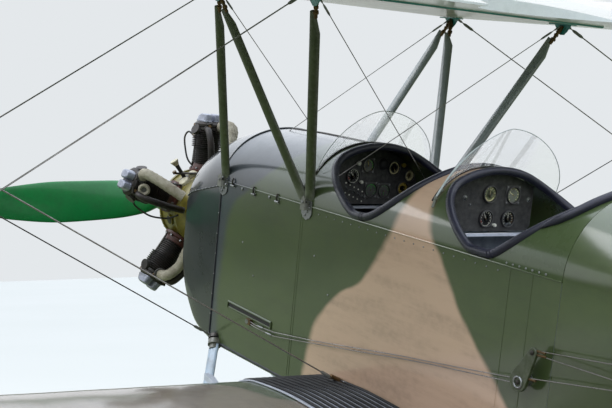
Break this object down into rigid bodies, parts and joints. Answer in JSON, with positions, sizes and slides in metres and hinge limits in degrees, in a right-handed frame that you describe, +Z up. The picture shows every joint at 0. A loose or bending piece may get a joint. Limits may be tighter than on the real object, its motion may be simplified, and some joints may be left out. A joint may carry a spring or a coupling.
{
  "type": "two-seat open-cockpit biplane trainer with radial engine",
  "caption": "Full-size tandem open-cockpit biplane standing on its wheels and tail skid, with a turning propeller, turning wheels and hinged control surfaces.",
  "frame": {"origin": "on the ground under the middle of the parked aircraft's bounding box", "axes": "+X to port, +Y towards the tail, +Z up from the ground; the aircraft is nose up by 12 degrees as parked"},
  "size_m": [11.3936, 8.1234, 2.9118],
  "materials": {
    "body_paint": "satin green dope and enamel, worn and uneven, with tan bands",
    "wing_fabric": "doped linen, satin green above and pale grey below",
    "cowl_metal": "slate grey enamel on sheet, satin",
    "strut_paint": "olive green enamel, satin",
    "gear_paint": "light blue-grey enamel, satin",
    "crankcase_metal": "cast alloy, oily, satin",
    "cylinder_metal": "black finned barrels with bright rocker boxes",
    "prop_wood": "laminated wood under glossy green paint",
    "tyre_rubber": "matte black rubber round painted disc covers",
    "rim_leather": "dark navy padded leather, stitched",
    "panel_black": "matte black wrinkle paint with dials",
    "windscreen": "clear acrylic sheet, lightly scratched",
    "wire_steel": "dark streamlined steel wire",
    "fitting_steel": "painted steel fittings"
  },
  "bodies": {
    "airframe": {"body_rear": "body_paint", "body_tub": "body_paint", "cabane_port": "strut_paint", "cabane_starboard": "strut_paint", "centre_section": "wing_fabric", "cowl": "cowl_metal", "crankcase": "crankcase_metal", "cylinder_1": "cylinder_metal", "cylinder_2": "cylinder_metal", "cylinder_3": "cylinder_metal", "cylinder_4": "cylinder_metal", "cylinder_5": "cylinder_metal", "decking_front": "body_paint", "decking_middle": "body_paint", "decking_rear": "body_paint", "fin": "wing_fabric", "panel_front": "panel_black", "panel_rear": "panel_black", "rim_front": "rim_leather", "rim_rear": "rim_leather", "seat_front": "fitting_steel", "seat_rear": "fitting_steel", "side_lever_port": "strut_paint", "side_lever_starboard": "strut_paint", "stabiliser": "wing_fabric", "stay_flying_front_port": "wire_steel", "stay_flying_front_starboard": "wire_steel", "stay_flying_rear_port": "wire_steel", "stay_flying_rear_starboard": "wire_steel", "stay_landing_front_port": "wire_steel", "stay_landing_front_starboard": "wire_steel", "stay_landing_rear_port": "wire_steel", "stay_landing_rear_starboard": "wire_steel", "stick_front": "fitting_steel", "stick_rear": "fitting_steel", "strut_front_port": "strut_paint", "strut_front_starboard": "strut_paint", "strut_rear_port": "strut_paint", "strut_rear_starboard": "strut_paint", "tail_skid": "fitting_steel", "tail_strut_port": "strut_paint", "tail_strut_starboard": "strut_paint", "undercarriage": "gear_paint", "windscreen_front": "windscreen", "windscreen_rear": "windscreen", "wing_lower_port": "wing_fabric", "wing_lower_starboard": "wing_fabric", "wing_upper_port": "wing_fabric", "wing_upper_starboard": "wing_fabric"},
    "propeller": {"propeller": "prop_wood"},
    "wheel_port": {"wheel_port": "tyre_rubber"},
    "wheel_starboard": {"wheel_starboard": "tyre_rubber"},
    "rudder": {"rudder": "wing_fabric"},
    "elevator": {"elevator": "wing_fabric"},
    "aileron_upper_port": {"aileron_upper_port": "wing_fabric"},
    "aileron_upper_starboard": {"aileron_upper_starboard": "wing_fabric"},
    "aileron_lower_port": {"aileron_lower_port": "wing_fabric"},
    "aileron_lower_starboard": {"aileron_lower_starboard": "wing_fabric"}
  },
  "joints": [
    {"name": "propeller_spin", "type": "hinge", "parent": "airframe", "child": "propeller", "pos_m": [0, -3.98255, 1.81732], "axis": [0, 0.9783, -0.2074], "continuous": true},
    {"name": "wheel_port_spin", "type": "hinge", "parent": "airframe", "child": "wheel_port", "pos_m": [0.84, -2.38205, 0.35], "axis": [1, 0, 0], "continuous": true},
    {"name": "wheel_starboard_spin", "type": "hinge", "parent": "airframe", "child": "wheel_starboard", "pos_m": [-0.84, -2.38205, 0.35], "axis": [1, 0, 0], "continuous": true},
    {"name": "rudder_turn", "type": "hinge", "parent": "airframe", "child": "rudder", "pos_m": [0, 3.47159, 0.64598], "axis": [0, 0.2074, 0.9783], "range_deg": [-28, 28]},
    {"name": "elevator_turn", "type": "hinge", "parent": "airframe", "child": "elevator", "pos_m": [0, 3.16836, 0.6381], "axis": [1, 0, 0], "range_deg": [-25, 25]},
    {"name": "aileron_turn", "type": "hinge", "parent": "airframe", "child": "aileron_upper_port", "pos_m": [4, -1.12707, 2.57749], "axis": [0.9994, 0.007, 0.0329], "range_deg": [-20, 20]},
    {"name": "aileron_upper_starboard_turn", "type": "hinge", "parent": "airframe", "child": "aileron_upper_starboard", "pos_m": [-4, -1.12707, 2.57749], "axis": [0.9994, -0.007, -0.0329], "range_deg": [-20, 20]},
    {"name": "aileron_lower_port_turn", "type": "hinge", "parent": "airframe", "child": "aileron_lower_port", "pos_m": [4, -0.68876, 0.73927], "axis": [0.9994, 0.007, 0.0329], "range_deg": [-20, 20]},
    {"name": "aileron_lower_starboard_turn", "type": "hinge", "parent": "airframe", "child": "aileron_lower_starboard", "pos_m": [-4, -0.68876, 0.73927], "axis": [0.9994, -0.007, -0.0329], "range_deg": [-20, 20]}
  ],
  "couplings": [
    {"joint": "aileron_lower_port_turn", "follows": "aileron_turn", "ratio": 1},
    {"joint": "aileron_upper_starboard_turn", "follows": "aileron_turn", "ratio": -1},
    {"joint": "aileron_lower_starboard_turn", "follows": "aileron_turn", "ratio": -1}
  ]
}
